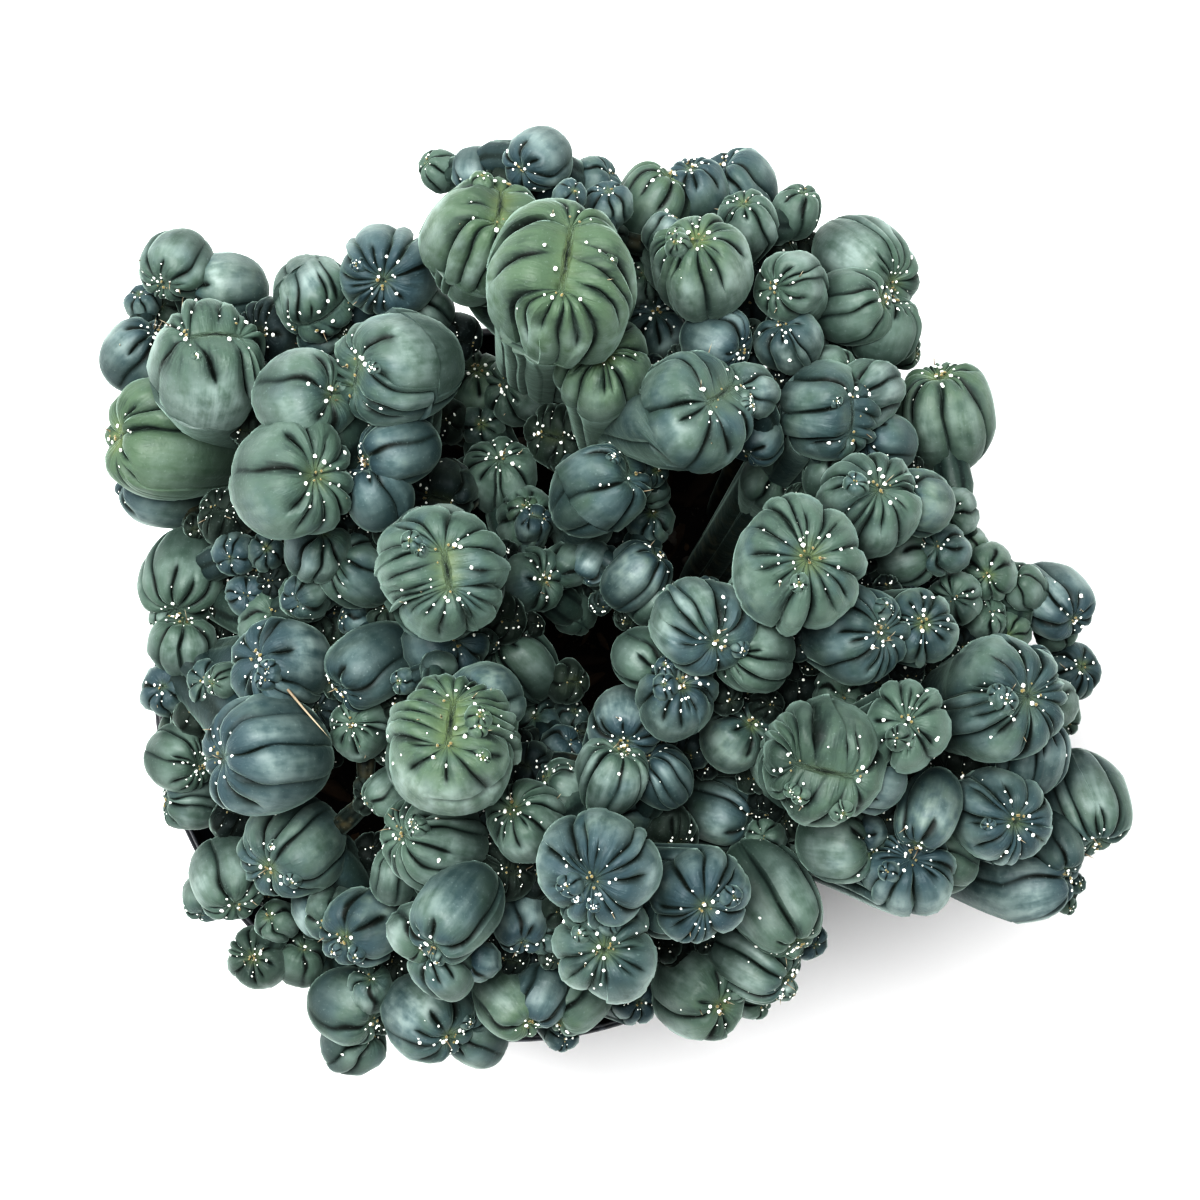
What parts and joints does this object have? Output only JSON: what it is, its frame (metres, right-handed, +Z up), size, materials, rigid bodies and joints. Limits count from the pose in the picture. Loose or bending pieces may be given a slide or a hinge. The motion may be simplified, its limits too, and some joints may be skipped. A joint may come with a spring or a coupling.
{
  "type": "potted monstrose blue torch cactus",
  "caption": "Dense clump of lobed, ribbed blue-green cactus stems with woolly dots, filling and overhanging a round black plastic nursery pot of soil",
  "frame": {"origin": "centre of the flat underside of the pot, on the surface it stands on", "axes": "+Z up along the pot's axis, +X to the right and +Y to the top of the picture, which looks straight down"},
  "size_m": [0.2867, 0.2617, 0.3318],
  "materials": {
    "pot": "satin black moulded plastic",
    "soil": "coarse dark potting mix",
    "skin": "waxy blue-green cactus skin"
  },
  "bodies": {
    "root": {"pot": "pot", "soil": "soil", "stem_north_west": "skin", "stem_west_crown": "skin", "stem_north_saddle": "skin", "stem_north_tall": "skin", "stem_north_ridge": "skin", "stem_north_east": "skin", "stem_centre_north": "skin", "stem_centre_knot": "skin", "stem_centre_crown": "skin", "stem_south_heart": "skin", "stem_south_knot": "skin", "stem_south_shade": "skin", "stem_east_crown": "skin", "stem_east_rose": "skin", "stem_east_fan": "skin", "stem_north_fan": "skin", "stem_east_spur": "skin", "stem_east_head": "skin", "stem_south_east": "skin", "stem_south_east_fan": "skin", "stem_south_crown": "skin", "stem_south_fan": "skin", "stem_south_low": "skin", "stem_south_west_head": "skin", "stem_south_west": "skin", "stem_west_low": "skin", "stem_west_mid": "skin", "stem_west_pair": "skin", "stem_west_rose": "skin", "stem_inner_low": "skin"}
  },
  "joints": []
}
